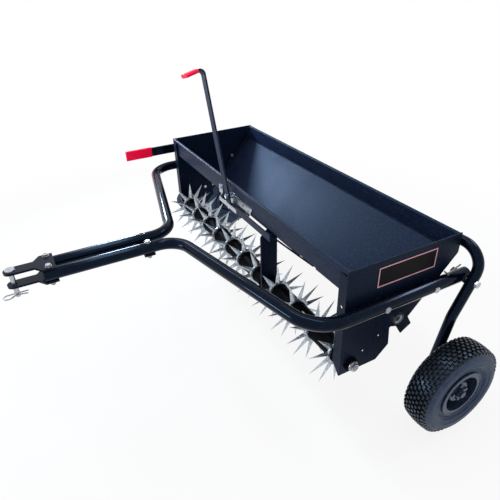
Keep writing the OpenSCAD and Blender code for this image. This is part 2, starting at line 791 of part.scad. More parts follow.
module lever_tab() {
    translate([top_r - lever_t, -tab_len, 0]) cube([lever_t, tab_len, lever_w]);
}

module flow_lever() {
    w = lever_w / 2;
    color("#26282b") at_lever() difference() {
        union() {
            along_x(-w, w) sheet(lever_line, lever_t);
            rod_y(-lever_t, 0, 0, -lever_foot, w);
        }
        rod_y(-20, 20, 0, 0, bolt_r + run_gap);
        rod_y(-20, 20, 0, -lever_arm, 3.02);
    }
}

module flow_grip() {
    r = lever_t / 2 + 3;
    color("#c8202a") at_lever() at_lever_top() difference() {
        translate([top_r - lever_t / 2, flow_grip_len - tab_len - 3, 0]) rotate([90, 0, 0])
            linear_extrude(flow_grip_len) stadium([0, r - 3], [0, lever_w - r + 3], r);
        lever_tab();
    }
}

module lever_pin() {
    color("#b9bcc0") at_lever() {
        rod_y(-lever_t - 1, 6.5, 0, -lever_arm, 3);
        rod_y(-lever_t - 2.5, -lever_t, 0, -lever_arm, 5.5);
    }
}

// Transport frame and wheels
module transport_line(r, over) {
    end = unit([wheel_y, wheel_z] - knee) * (18 + over) + [wheel_y, wheel_z];
    bent_bar([[arm_x, end.x, end.y], [arm_x, knee.x, knee.y], [arm_x, cross_y, shoulder_z],
        [arm_x, cross_y, -crossbar_down], [-arm_x, cross_y, -crossbar_down],
        [-arm_x, cross_y, shoulder_z], [-arm_x, knee.x, knee.y], [-arm_x, end.x, end.y]],
        [0, knee_bend, shoulder_bend, cross_bend, cross_bend, shoulder_bend, knee_bend, 0], r);
}

module transport_frame() {
    color("#1b1d20") at_hopper() difference() {
        transport_line(arm_r, 0);
        transport_line(arm_r - transport_wall, 1);
        on_both_sides() {
            rod_x(arm_x - 20, arm_x + 20, pivot_y, bar_z, pivot_r + run_gap);
            rod_x(arm_x - 20, arm_x + 20, wheel_y, wheel_z, stub_r + bolt_gap);
        }
    }
}

module pivot_bolts() {
    color("#b9bcc0") at_hopper() on_both_sides() {
        rod_x(bar_x - bar_r - 6, arm_x + arm_r + 5, pivot_y, bar_z, pivot_r);
        rod_x(bar_x - bar_r - 7, bar_x - bar_r, pivot_y, bar_z, 10.5, 6);
    }
    color("#b9bcc0") at_hopper() {
        rod_x(arm_x + arm_r + slip_gap, arm_x + arm_r + 6, pivot_y, bar_z, 9, 6);
        rod_x(-arm_x - arm_r - handle_t - 6, -arm_x - arm_r, pivot_y, bar_z, pivot_r);
        rod_x(-arm_x - arm_r - handle_t - 7, -arm_x - arm_r - handle_t - slip_gap, pivot_y, bar_z, 10.5, 6);
    }
}

module lock_pin() {
    y = pivot_y - lock_fore;
    top = bar_z + bar_r;
    color("#3a3c3f") at_hopper() {
        rod_z(bar_z + 4, top + 3, bar_x, y, 3);
        bent_bar([[bar_x, y - 13, top + 13], [bar_x, y, top + 3], [bar_x, y + 38, top + 16]], [0, 6, 0], 1.8);
    }
}

module handle_bar() {
    h = handle_w / 2;
    along_x(-(arm_x + arm_r + handle_t), -(arm_x + arm_r)) polygon([[-handle_front + 4, handle_z - h],
        [-handle_front + 4, handle_z + h], [cross_y + 12, handle_z + h], [cross_y + 12, bar_z - 10],
        [cross_y + 2, bar_z - 20], [pivot_y - 17, bar_z - 20], [pivot_y - 17, handle_z - h]]);
}

module lift_handle() {
    color("#26282b") at_hopper() difference() {
        handle_bar();
        rod_x(-arm_x - 40, -arm_x, pivot_y, bar_z, pivot_r + run_gap);
    }
}

module lift_grip() {
    x = -(arm_x + arm_r + handle_t / 2);
    r = handle_t / 2 + 2.5;
    h = handle_w / 2 + 2.5 - r;
    color("#c8202a") at_hopper() difference() {
        translate([x, -handle_front + lift_grip_len, handle_z]) rotate([90, 0, 0])
            linear_extrude(lift_grip_len) stadium([0, -h], [0, h], r);
        handle_bar();
    }
}

module stub_axles() {
    hub = wheel_x - hub_half;
    color("#b9bcc0") at_hopper() on_both_sides() {
        rod_x(arm_x - arm_r, wheel_x + hub_half + 7, wheel_y, wheel_z, stub_r);
        rod_x(arm_x + arm_r, hub - slip_gap, wheel_y, wheel_z, 12);
        rod_x(wheel_x + hub_half + slip_gap, wheel_x + hub_half + 2, wheel_y, wheel_z, 12.5);
        rod_x(wheel_x + hub_half + 2, wheel_x + hub_half + 6, wheel_y, wheel_z, 10, 6);
    }
}

module tyre_shape(g) {
    w = tyre_w / 2;
    wall_r = (tyre_d / 2 - 4 - flange_r - 0.6) / 2;
    mid = tyre_d / 2 - 4 - wall_r;
    intersection() {
        union() {
            for (k = [-1, 1]) translate([mid, k * (w - wall_r)]) circle(wall_r - g);
            translate([rim_d / 2, g - bead_half]) square([mid - rim_d / 2, 2 * (bead_half - g)]);
            translate([mid, g + 5 - w]) square([wall_r, 2 * (w - 5 - g)]);
        }
        translate([0, -w]) square([tread_r - g, tyre_w]);
    }
}

// One ring of the tread, lower the further it lies from the middle
module tread_ring(k) {
    drop = crown_r - sqrt(crown_r * crown_r - k * k * groove_p * groove_p);
    ring_w = groove_p - groove_w;
    translate([tread_r - 1, k * groove_p - ring_w / 2]) square([tyre_d / 2 - drop - tread_r + 1, ring_w]);
}

module tyre() {
    difference() {
        spin_x(wheel_x, wheel_y, wheel_z) {
            difference() {
                tyre_shape(0);
                difference() {
                    tyre_shape(tyre_wall);
                    translate([0, -tyre_w]) square([rim_d / 2 + 6, 2 * tyre_w]);
                }
            }
            for (k = [-2:2]) tread_ring(k);
        }
        for (k = [0:lugs - 1]) translate([wheel_x, wheel_y, wheel_z]) rotate([(k + 0.5) * 360 / lugs, 0, 0])
            translate([-tyre_w / 2, -groove_w / 2, tread_r - 0.2]) cube([tyre_w, groove_w, 20]);
    }
}

module tyre_right() {
    color("#17181a") at_hopper() tyre();
}

module tyre_left() {
    color("#17181a") at_hopper() mirror([1, 0, 0]) tyre();
}

module rim() {
    r = rim_d / 2;
    t = 2.6;
    out = bead_half + slip_gap;
    difference() {
        spin_x(wheel_x, wheel_y, wheel_z) {
            translate([r - t, -out]) square([t, 2 * out]);
            for (k = [0, 1]) mirror([0, k]) {
                translate([r - t, out - 0.1]) square([flange_r - r - t + 1, t]);
                translate([flange_r - 2.2, out + 2.2]) circle(2.2);
            }
            sheet([[r - 1, 2], [r - 9, 6], [face_r, face_x], [stub_r + 2, face_x]], t);
            translate([stub_r + run_gap, -hub_half]) square([hub_wall, 2 * hub_half]);
        }
        for (k = [0:3]) translate([wheel_x, wheel_y, wheel_z]) rotate([k * 90, 0, 0])
            rod_x(face_x - 10, face_x + 10, 0, rim_bolt_r, 3.3);
    }
}

module rim_right() {
    color("#2b2e33") at_hopper() rim();
}

module rim_left() {
    color("#2b2e33") at_hopper() mirror([1, 0, 0]) rim();
}

module rim_bolts() {
    for (k = [0:3]) translate([wheel_x, wheel_y, wheel_z]) rotate([k * 90, 0, 0]) {
        rod_x(face_x - 9, face_x + 1, 0, rim_bolt_r, 3);
        rod_x(face_x, face_x + 4, 0, rim_bolt_r, 5, 6);
        rod_x(face_x - 7.2, face_x - 2.6, 0, rim_bolt_r, 5, 6);
    }
}

module rim_bolts_right() {
    color("#b9bcc0") at_hopper() rim_bolts();
}

module rim_bolts_left() {
    color("#b9bcc0") at_hopper() mirror([1, 0, 0]) rim_bolts();
}

hopper_tray();
end_plate_left();
end_plate_right();
drawbar_tube_left();
drawbar_tube_right();
hitch_plate_upper();
hitch_plate_lower();
tongue_tie_plate();
tongue_bolts();
drawbar_bolts();
frame_washers();
centre_hanger();
hanger_bush();
axle_bearings();
agitator_bushes();
closure_guides();
flow_bracket();
bracket_bolts();
lever_pivot_bolt();
chain_guard();
guard_bolts();
drive_chain();
pivot_bolts();
lock_pin();
tine_axle();
reel_spools();
drive_sprocket();
axle_nuts();
agitator_shaft();
agitator_sprocket();
flow_lever();
flow_grip();
lever_pin();
closure_plate();
flow_link();
transport_frame();
lift_handle();
lift_grip();
stub_axles();
tyre_left();
tyre_right();
rim_left();
rim_right();
rim_bolts_left();
rim_bolts_right();
hitch_pin();
hitch_clip();
for (i = [0:10]) star(i);
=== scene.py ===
# %% [markdown]
# This lesson dresses a tow-behind spreader with a reel of star tines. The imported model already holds
# every part at its real size and place, in metres, so nothing is moved here. Parts get finishes, and the
# soft or finely shaped ones, such as the tyres, get a mesh of their own that stands in for the plain solid.

# %% Load the machine
import json
import math
import bpy
from mathutils import Matrix, Vector


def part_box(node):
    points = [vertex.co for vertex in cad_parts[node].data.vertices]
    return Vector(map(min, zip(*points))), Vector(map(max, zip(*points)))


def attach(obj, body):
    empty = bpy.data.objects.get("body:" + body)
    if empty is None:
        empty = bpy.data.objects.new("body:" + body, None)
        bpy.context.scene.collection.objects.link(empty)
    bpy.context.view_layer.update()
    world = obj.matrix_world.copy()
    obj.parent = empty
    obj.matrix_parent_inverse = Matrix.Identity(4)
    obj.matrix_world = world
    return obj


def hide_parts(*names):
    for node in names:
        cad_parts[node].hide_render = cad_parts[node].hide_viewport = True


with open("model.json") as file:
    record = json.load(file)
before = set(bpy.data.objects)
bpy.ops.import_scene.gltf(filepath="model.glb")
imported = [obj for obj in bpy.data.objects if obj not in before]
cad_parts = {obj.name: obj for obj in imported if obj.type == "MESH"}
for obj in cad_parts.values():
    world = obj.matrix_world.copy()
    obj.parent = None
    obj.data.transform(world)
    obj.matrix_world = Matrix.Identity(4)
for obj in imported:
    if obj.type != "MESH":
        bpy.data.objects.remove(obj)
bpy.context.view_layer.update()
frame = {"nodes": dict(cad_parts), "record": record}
nodes = frame["nodes"]

# %% [markdown]
# The camera stands where the photographer stood. Its place, counted from the middle of the hopper's rim,
# and its turn were found by matching the four rim corners and the feet of the end plates. A camera looks
# along its own -Z, so its matrix is built from a right, an up and a backward direction, with a small roll
# about the line of sight.

# %% Camera
tray_low, tray_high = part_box("hopper_tray")
RIM = Vector((0, (tray_low.y + tray_high.y) / 2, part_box("end_plate_right")[1].z))
CAMERA_PLACE = RIM + Vector((1.10449, -0.68195, 0.51914))
CAMERA_TURN = math.radians(63.01)
CAMERA_TILT = math.radians(31.06)
CAMERA_ROLL = math.radians(-1.84)
CAMERA_LENS = 33.153
SENSOR_WIDTH = 36
FARTHEST_SEEN = 60

backward = Vector((math.sin(CAMERA_TURN) * math.cos(CAMERA_TILT),
                   -math.cos(CAMERA_TURN) * math.cos(CAMERA_TILT),
                   math.sin(CAMERA_TILT)))
level_right = Vector((0, 0, 1)).cross(backward).normalized()
level_up = backward.cross(level_right)
right = level_right * math.cos(CAMERA_ROLL) + level_up * math.sin(CAMERA_ROLL)
up = level_up * math.cos(CAMERA_ROLL) - level_right * math.sin(CAMERA_ROLL)
camera_turned = Matrix((right, up, backward)).transposed().to_4x4()

camera_data = bpy.data.cameras.new("studio_camera")
camera_data.lens = CAMERA_LENS
camera_data.sensor_width = SENSOR_WIDTH
camera_data.clip_end = FARTHEST_SEEN
camera = bpy.data.objects.new("studio_camera", camera_data)
camera.matrix_world = Matrix.Translation(CAMERA_PLACE) @ camera_turned
bpy.context.scene.collection.objects.link(camera)
bpy.context.scene.camera = camera
print("camera at", tuple(round(v, 3) for v in CAMERA_PLACE))

# %% [markdown]
# Shader maths reads best as plain sums. A small class wraps one socket of a material, and its operators
# add Math nodes, so `1 - mask` is a working line. Every other node comes from one method, which sets the
# node's choices first and then its sockets, by name or by number where a name is used twice.

# %% A socket that does sums
class Socket:
    """One output of a node tree, with arithmetic that adds Math nodes."""

    def __init__(self, tree, output):
        self.tree = tree
        self.output = output

    def make(self, kind, settings=None, sockets=None, output=0):
        """Adds a node of any kind to the same tree and returns one of its outputs."""
        node = self.tree.nodes.new("ShaderNode" + kind)
        for name, value in (settings or {}).items():
            setattr(node, name, value)
        for name, value in (sockets or {}).items():
            self.plug(value, node.inputs[name])
        return Socket(self.tree, node.outputs[output])

    def plug(self, value, target):
        """Links a socket, or writes a number, vector or colour."""
        if isinstance(value, Socket):
            self.tree.links.new(value.output, target)
        elif isinstance(value, tuple) and target.type == "RGBA":
            target.default_value = (*value[:3], 1)
        else:
            target.default_value = value

    def sum(self, operation, first, second):
        return self.make("Math", {"operation": operation}, {0: first, 1: second})

    def __add__(self, other):
        return self.sum("ADD", self, other)

    def __sub__(self, other):
        return self.sum("SUBTRACT", self, other)

    def __mul__(self, other):
        return self.sum("MULTIPLY", self, other)

    def __radd__(self, other):
        return self.sum("ADD", other, self)

    def __rsub__(self, other):
        return self.sum("SUBTRACT", other, self)

    def __rmul__(self, other):
        return self.sum("MULTIPLY", other, self)

    def step(self, low, high):
        """0 below low, 1 above high and a smooth rise between them."""
        settings = {"interpolation_type": "SMOOTHSTEP"}
        return self.make("MapRange", settings, {"Value": self, "From Min": low, "From Max": high})

    def mix(self, first, second):
        """Goes from one colour to another as this value goes from 0 to 1."""
        settings = {"data_type": "RGBA"}
        return self.make("Mix", settings, {0: self, 6: first, 7: second}, 2)


print("shader sums are ready")

# %% [markdown]
# A finish is a material in the making. It wraps its own Object coordinates, which don't slide when a part
# moves, so every texture starts from it. Its edges method finds where paint wears first: a Bevel node
# gives a rounded normal, and wherever that leaves the true one there is an edge. The paler colour that a
# finish mixes in along its edges is partly wear and partly a painted highlight, as a rounded edge would
# catch the light.

# %% A finish
EDGE_MATCH = (0.80, 0.995)
EDGE_SAMPLES = 4


class Finish(Socket):
    """A material in the making. It stands for its own Object coordinates."""

    def __init__(self, name, **constants):
        self.material = bpy.data.materials.new(name)
        self.material.use_nodes = True
        tree = self.material.node_tree
        self.shader = tree.nodes["Principled BSDF"]
        place = tree.nodes.new("ShaderNodeTexCoord")
        super().__init__(tree, place.outputs["Object"])
        for socket, value in constants.items():
            self.feed(socket.replace("_", " "), value)

    def noise(self, scale, detail=2.0, roughness=0.5):
        return self.make("TexNoise", {}, {"Vector": self, "Scale": scale, "Detail": detail,
                                          "Roughness": roughness})

    def edges(self, radius):
        """1 along sharp edges and 0 on flats, from the angle between a rounded and the true normal."""
        # Finishes mix a paler colour in along this mask: partly wear, partly a painted edge highlight.
        rounded = self.make("Bevel", {"samples": EDGE_SAMPLES}, {"Radius": radius})
        true = self.make("NewGeometry", {}, {}, "Normal")
        match = self.make("VectorMath", {"operation": "DOT_PRODUCT"}, {0: rounded, 1: true}, "Value")
        return 1 - match.step(*EDGE_MATCH)

    def bump(self, height, depth, strength):
        sockets = {"Height": height, "Distance": depth, "Strength": strength}
        self.feed("Normal", self.make("Bump", {}, sockets))

    def feed(self, name, value):
        self.plug(value, self.shader.inputs[name])


print("finishes can be mixed")

# %% [markdown]
# Black powder coat covers the hopper, tubes and plates. Sprayed powder melts into a skin with a fine
# orange peel, so its gloss is broad and soft, with a cold blue cast in the light. A fine noise drives the
# bump and a pale speckle, which paints the tiny glints of that peel, and a slower one the roughness. Edges
# are a little rougher and paler, partly wear and partly a painted highlight where a rounded edge would
# catch the light. Sheets have the grainy coat. The end plates and the hanger have a darker copy of it,
# whose extra darkness is painted shade. Tubes and hitch plates have a smooth one, darkest of all and with
# a sharp line of light.

# %% Powder coat
COLD_CAST = (0.34, 0.58, 1.0)
PALE_EDGE_WEAR_AND_HIGHLIGHT = (0.10, 0.12, 0.17)
COAT_EDGE_RADIUS = 0.0012


def shaded(colour, share):
    return tuple(share * v for v in colour)


def powder_coat(name, shade, sheen, peel, depth, mirror):
    coat = Finish(name, Specular_IOR_Level=mirror, Specular_Tint=COLD_CAST)
    mottle = coat.noise(14, detail=4, roughness=0.6)
    edge_wear_and_highlight = coat.edges(COAT_EDGE_RADIUS) * coat.noise(60, detail=3).step(0.35, 0.75)
    dust = coat.noise(5, detail=5, roughness=0.65).step(0.45, 0.8)
    base = mottle.mix(shaded(shade, 0.75), shade)
    # Sparse pale specks: painted glints of the orange peel.
    grain = coat.noise(peel * 0.55, detail=1).step(0.52, 0.72)
    glint_speckled = (grain * 0.6).mix(base, shaded(shade, 3.4))
    dusty = (dust * 0.3).mix(glint_speckled, shaded(shade, 2.1))
    # The pale edge colour is partly wear and partly a painted highlight.
    coat.feed("Base Color", (edge_wear_and_highlight * 0.7).mix(dusty, PALE_EDGE_WEAR_AND_HIGHLIGHT))
    coat.feed("Roughness", sheen - 0.05 + 0.1 * mottle + 0.12 * edge_wear_and_highlight + 0.05 * dust)
    fine_peel = coat.noise(peel * 3.1, detail=1)
    coat.bump(coat.noise(peel, detail=2) + 0.35 * fine_peel, depth, strength=0.55)
    return coat.material


finishes = {}
finishes["black_coat"] = powder_coat("black_powder_coat", (0.007, 0.0125, 0.031), sheen=0.44, peel=480,
                                     depth=0.00050, mirror=0.16)
finishes["rim_coat"] = powder_coat("rim_paint", (0.022, 0.033, 0.062), sheen=0.28, peel=420,
                                   depth=0.00012, mirror=0.40)
# A darker copy for the end plates and the hanger: its extra darkness is painted shade.
shaded_plate_coat = powder_coat("painted_shade_plate_coat", (0.004, 0.0085, 0.022), sheen=0.38, peel=480,
                         depth=0.00040, mirror=0.10)
tube_coat = powder_coat("smooth_tube_coat", (0.002, 0.003, 0.008), sheen=0.12, peel=420,
                        depth=0.00003, mirror=0.18)
print("powder coat:", list(finishes), shaded_plate_coat.name, tube_coat.name)

# %% [markdown]
# The tine stars are hot-dip galvanised: zinc freezes on them in dull grey crystals, so each patch of a few
# millimetres mirrors light a little differently. A cell texture gives the patches, and grey stains break
# them up. The bolts and brackets are zinc plated instead, which is brighter and almost even.

# %% Zinc finishes
CRYSTALS_PER_METRE = 170.0
DULL_CRYSTAL = (0.40, 0.45, 0.51)
PALE_CRYSTAL = (0.64, 0.70, 0.76)
ZINC_STAIN = (0.13, 0.15, 0.19)
STAR_EDGE = (0.62, 0.64, 0.67)
DULL_PLATE = (0.34, 0.36, 0.40)
PALE_PLATE = (0.60, 0.62, 0.66)
PLATE_EDGE = (0.78, 0.80, 0.83)


def galvanised():
    zinc = Finish("galvanised_zinc", Metallic=0.82)
    sockets = {"Vector": zinc, "Scale": CRYSTALS_PER_METRE}
    cell = zinc.make("TexVoronoi", {"feature": "F1"}, sockets, "Color")
    crystal = zinc.make("SeparateColor", {}, {"Color": cell}, "Red")
    stain = zinc.noise(45, detail=5, roughness=0.65).step(0.4, 0.75)
    bright = crystal.mix(DULL_CRYSTAL, PALE_CRYSTAL)
    edge_wear_and_highlight = zinc.edges(0.0009)
    dull = (stain * 0.5).mix(bright, ZINC_STAIN)
    zinc.feed("Base Color", (edge_wear_and_highlight * 0.6).mix(dull, STAR_EDGE))
    zinc.feed("Roughness", 0.22 + 0.12 * crystal + 0.14 * stain - 0.06 * edge_wear_and_highlight)
    zinc.bump(zinc.noise(900, detail=2) + crystal * 0.6, 0.00018, strength=0.5)
    return zinc.material


def zinc_plate():
    zinc = Finish("bright_zinc_plate", Metallic=1.0)
    stain = zinc.noise(120, detail=4, roughness=0.6)
    edge_wear_and_highlight = zinc.edges(0.0008)
    tone = stain.mix(DULL_PLATE, PALE_PLATE)
    zinc.feed("Base Color", (edge_wear_and_highlight * 0.5).mix(tone, PLATE_EDGE))
    zinc.feed("Roughness", 0.22 + 0.18 * stain)
    zinc.bump(zinc.noise(1500, detail=2), 0.0001, strength=0.4)
    return zinc.material


finishes["galvanised"] = galvanised()
finishes["zinc"] = zinc_plate()
print("zinc finishes:", list(finishes)[-2:])

# %% [markdown]
# Axle, shafts, sprockets and chain are bare steel wiped with oil. Turned bars carry fine rings across
# their length, so a stretched noise, squeezed along X, marks them, and brown film collects in slow
# blotches.

# %% Oiled steel
RING_SCALE = (900.0, 30.0, 30.0)
DARK_STEEL = (0.22, 0.23, 0.24)
PALE_STEEL = (0.42, 0.43, 0.44)
OIL_FILM = (0.12, 0.09, 0.06)
STEEL_EDGE = (0.6, 0.6, 0.6)


def oiled_steel():
    steel = Finish("oiled_steel", Metallic=1.0)
    rings = steel.make("Mapping", {}, {"Vector": steel, "Scale": RING_SCALE})
    marks = steel.make("TexNoise", {}, {"Vector": rings, "Scale": 1.0, "Detail": 3.0})
    film = steel.noise(35, detail=4, roughness=0.6).step(0.4, 0.8)
    edge_wear_and_highlight = steel.edges(0.0008)
    grey = marks.mix(DARK_STEEL, PALE_STEEL)
    brown = (film * 0.45).mix(grey, OIL_FILM)
    steel.feed("Base Color", (edge_wear_and_highlight * 0.5).mix(brown, STEEL_EDGE))
    steel.feed("Roughness", 0.28 + 0.2 * film + 0.1 * marks)
    steel.bump(marks, 0.00012, strength=0.5)
    return steel.material


finishes["bare_steel"] = oiled_steel()
print("oiled steel:", finishes["bare_steel"].name)

# %% [markdown]
# Spools and bushes are moulded black plastic with a fine spark texture, and grips are dipped red vinyl,
# glossy and slightly uneven. Both could be one plain colour, but a slow noise in colour and roughness
# shows how the plastic flowed in its mould and how the vinyl ran as it dried.

# %% Plastic and vinyl
DARK_PLASTIC = (0.001, 0.001, 0.002)
PALE_PLASTIC = (0.003, 0.003, 0.005)
PLASTIC_EDGE = (0.02, 0.021, 0.025)
DEEP_RED = (0.97, 0.001, 0.046)
BRIGHT_RED = (1.0, 0.002, 0.062)
RED_EDGE = (0.99, 0.015, 0.07)


def moulded_plastic():
    plastic = Finish("moulded_black_plastic", Specular_IOR_Level=0.03)
    blotch = plastic.noise(40, detail=4, roughness=0.6)
    edge_wear_and_highlight = plastic.edges(0.0008)
    base = blotch.mix(DARK_PLASTIC, PALE_PLASTIC)
    plastic.feed("Base Color", (edge_wear_and_highlight * 0.5).mix(base, PLASTIC_EDGE))
    plastic.feed("Roughness", 0.45 + 0.2 * blotch)
    plastic.bump(plastic.noise(1600, detail=2), 0.0002, strength=0.5)
    return plastic.material


def red_vinyl():
    vinyl = Finish("dipped_red_vinyl", Specular_IOR_Level=0.12, Coat_Roughness=0.15)
    flow = vinyl.noise(45, detail=4, roughness=0.6)
    edge_wear_and_highlight = vinyl.edges(0.0015)
    base = flow.mix(DEEP_RED, BRIGHT_RED)
    vinyl.feed("Base Color", (edge_wear_and_highlight * 0.3).mix(base, RED_EDGE))
    vinyl.feed("Roughness", 0.3 + 0.18 * flow)
    vinyl.feed("Coat Weight", 0.06 * flow.step(0.3, 0.7))
    vinyl.bump(flow + 0.2 * vinyl.noise(900, detail=2), 0.0004, strength=0.5)
    return vinyl.material


finishes["black_plastic"] = moulded_plastic()
finishes["red_vinyl"] = red_vinyl()
print("plastic and vinyl:", list(finishes)[-2:])

# %% [markdown]
# Tyres are carbon-black rubber that turns grey where it is dusty, so a slow noise lifts its colour and
# dulls it. The sidewall mix is lighter and bluer, and the tread's is darker and shinier, so the tread has
# its own mix.

# %% Rubber
RUBBER_CAST = (0.50, 0.70, 1.0)
RUBBER_EDGE = (0.05, 0.058, 0.075)


def tyre_rubber(name, dusty, clean, dull):
    rubber = Finish(name, Specular_IOR_Level=0.45, Specular_Tint=RUBBER_CAST)
    bloom = rubber.noise(48, detail=5, roughness=0.7).step(0.32, 0.7)
    grain = rubber.noise(700, detail=3)
    edge_wear_and_highlight = rubber.edges(0.0012)
    base = bloom.mix(clean, dusty)
    rubber.feed("Base Color", (edge_wear_and_highlight * 0.55).mix(base, RUBBER_EDGE))
    rubber.feed("Roughness", dull + 0.22 * bloom + 0.08 * grain)
    rubber.bump(grain, 0.0003, strength=0.5)
    return rubber.material


finishes["tyre_rubber"] = tyre_rubber("tyre_rubber", dusty=(0.046, 0.066, 0.120),
                                      clean=(0.016, 0.024, 0.048), dull=0.40)
tread_finish = tyre_rubber("tread_rubber", dusty=(0.007, 0.009, 0.014),
                           clean=(0.002, 0.003, 0.004), dull=0.16)
print("rubber:", finishes["tyre_rubber"].name, tread_finish.name)

# %% [markdown]
# The record says which finish each part takes, so one loop dresses all the parts. A part's own material
# list is emptied first, because the imported model brings a plain colour with it. Some parts then take a
# closer match: smooth tubes, end plates and the hanger in a darker coat that paints their shade, oiled
# steel at the hitch and painted wheel bolts.

# %% Dress the parts
CLOSER_MATCH = {
    "drawbar_tube_left": tube_coat,
    "drawbar_tube_right": tube_coat,
    "transport_frame": tube_coat,
    "lift_handle": tube_coat,
    "hitch_plate_upper": tube_coat,
    "hitch_plate_lower": tube_coat,
    "tongue_tie_plate": tube_coat,
    # End plates and hanger: a darker coat that paints their shade.
    "end_plate_left": shaded_plate_coat,
    "end_plate_right": shaded_plate_coat,
    "centre_hanger": shaded_plate_coat,
    "hitch_clip": finishes["bare_steel"],
    "tongue_bolts": finishes["bare_steel"],
    "rim_bolts_left": finishes["rim_coat"],
    "rim_bolts_right": finishes["rim_coat"],
    "stub_axles": finishes["rim_coat"],
}

for part in frame["record"]["subparts"]:
    mesh = nodes[part["node"]].data
    mesh.materials.clear()
    mesh.materials.append(finishes[part["material_slot"]])
for name, finish in CLOSER_MATCH.items():
    nodes[name].data.materials[0] = finish

# %% [markdown]
# Pieces are modelled with the same operators that a hand would use. Loading leaves every part selected, so
# each piece starts by clearing the selection. A few helpers then do the common steps: pick faces by where
# they are, draw a profile by extruding one point along it, and hand a finished piece over to the body that
# carries it.

# %% Modelling helpers
TOUCHING = 0.00002
SPECK = 0.001


def fresh():
    if bpy.context.object and bpy.context.object.mode != "OBJECT":
        bpy.ops.object.mode_set(mode="OBJECT")
    bpy.ops.object.select_all(action="DESELECT")


def pick_faces(obj, test):
    """Selects the faces of a mesh, open in edit mode, whose centre passes a test."""
    bpy.ops.object.mode_set(mode="OBJECT")
    mesh = obj.data
    for group in (mesh.polygons, mesh.edges, mesh.vertices):
        group.foreach_set("select", [False] * len(group))
    for face in mesh.polygons:
        face.select = test(face.center)
    bpy.ops.object.mode_set(mode="EDIT")
    bpy.ops.mesh.select_mode(type="FACE")


def profile(name, points):
    """One point, a speck of a plane merged at its centre, extruded along a list of points."""
    fresh()
    bpy.ops.mesh.primitive_plane_add(size=SPECK, location=points[0])
    obj = bpy.context.object
    obj.name = name
    bpy.ops.object.transform_apply(location=True)
    bpy.ops.object.mode_set(mode="EDIT")
    bpy.ops.mesh.select_mode(type="VERT")
    bpy.ops.mesh.select_all(action="SELECT")
    bpy.ops.mesh.merge(type="CENTER")
    for before, after in zip(points, points[1:]):
        bpy.ops.mesh.extrude_region_move(TRANSFORM_OT_translate={"value": Vector(after) - Vector(before)})
    return obj


def close_up():
    """Joins doubled points, turns the faces outwards and leaves edit mode."""
    bpy.ops.mesh.select_all(action="SELECT")
    bpy.ops.mesh.remove_doubles(threshold=TOUCHING)
    bpy.ops.mesh.normals_make_consistent(inside=False)
    bpy.ops.object.mode_set(mode="OBJECT")


def hand_over(obj, body, slot, angle):
    """Finishes a piece: smooth shading, its material, the body that carries it."""
    fresh()
    obj.select_set(True)
    bpy.context.view_layer.objects.active = obj
    bpy.ops.object.transform_apply(location=True, rotation=True, scale=True)
    bpy.ops.object.shade_smooth_by_angle(angle=math.radians(angle))
    obj.data.materials.clear()
    obj.data.materials.append(finishes[slot])
    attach(obj, body)
    print(obj.name, len(obj.data.polygons), "faces")
    return obj


print("helpers are ready")

# %% [markdown]
# A turf tyre is a fat carcass with rows of small rubber blocks, so that it doesn't cut the lawn. Half of
# the carcass's section is drawn first: the bead on the rim, an elliptic sidewall with thin moulded rings,
# and a crown that is a shallow arc, a tread's depth below the surface. Its mirror image makes it whole.

# %% Tyre section
low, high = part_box("tyre_right")
TYRE_R = (high.z - low.z) / 2
TYRE_HALF = (high.x - low.x) / 2
CROWN_R = 0.130
CROWN_PLACES = (0.024, 0.016, 0.008)
TREAD_DEEP = 0.0068
BEAD = Vector((0.0308, 0.0530))
SEAT_R = 0.0640
WALL_CENTRE = Vector((TYRE_HALF - 0.0262, 0.0920))
WALL_SIZE = Vector((0.0249, 0.0275))
WALL_REACH = 50
WALL_STEP = 2
RIDGES = (-34, -10, 24)
RIDGE_HALF = 1.1
RIDGE_HIGH = 0.0011


def crown(x, inset=0.0):
    """Radius of the tread's surface, or of a layer below it, at a place across the tyre."""
    return TYRE_R - CROWN_R + math.sqrt((CROWN_R - inset) ** 2 - x * x)


def wall(angle):
    """A point across and out on the sidewall's ellipse, lifted where a moulded ring runs round."""
    lift = RIDGE_HIGH if any(abs(angle - ridge) < RIDGE_HALF for ridge in RIDGES) else 0.0
    turn = math.radians(angle)
    return (WALL_CENTRE.x + (WALL_SIZE.x + lift) * math.cos(turn),
            WALL_CENTRE.y + (WALL_SIZE.y + lift) * math.sin(turn))


half = [(BEAD.x, BEAD.y), (BEAD.x, SEAT_R)]
half += [wall(a) for a in range(-WALL_REACH, WALL_REACH + 1, WALL_STEP)]
half += [(x, crown(x, TREAD_DEEP)) for x in CROWN_PLACES]
section = half + [(0, crown(0, TREAD_DEEP))] + [(-x, r) for x, r in reversed(half)]
print("tyre section has", len(section), "points")

# %% [markdown]
# The carcass is that section spun about the axle. A torus could be squeezed into shape instead, but a spun
# section keeps the bead, the rings and the crown exactly where they were drawn.

# %% Tyre carcass
CARCASS_STEPS = 96


def spin_about_axle(centre, steps, copies=False, turn=math.tau):
    bpy.ops.mesh.select_all(action="SELECT")
    bpy.ops.mesh.spin(steps=steps, dupli=copies, angle=turn, center=centre, axis=(1, 0, 0))


def carcass(name, centre):
    points = [centre + Vector((x, 0, r)) for x, r in section]
    obj = profile(name, points + points[:1])
    spin_about_axle(centre, CARCASS_STEPS)
    close_up()
    return obj


print("a carcass has", CARCASS_STEPS, "steps round")

# %% [markdown]
# One tread block is modelled from a cube, with a tapered and bevelled top, then set on the crown and spun
# in copies to make a row. Neighbouring rows sit half a block apart, which breaks up the grooves, and one
# leaning row on each shoulder carries the tread over the edge.

# %% Tread blocks
BLOCKS = 52
BLOCK_SIZE = (0.0072, 0.0096, 0.0088)
BLOCK_TAPER = 0.82
BLOCK_BEVEL = 0.0006


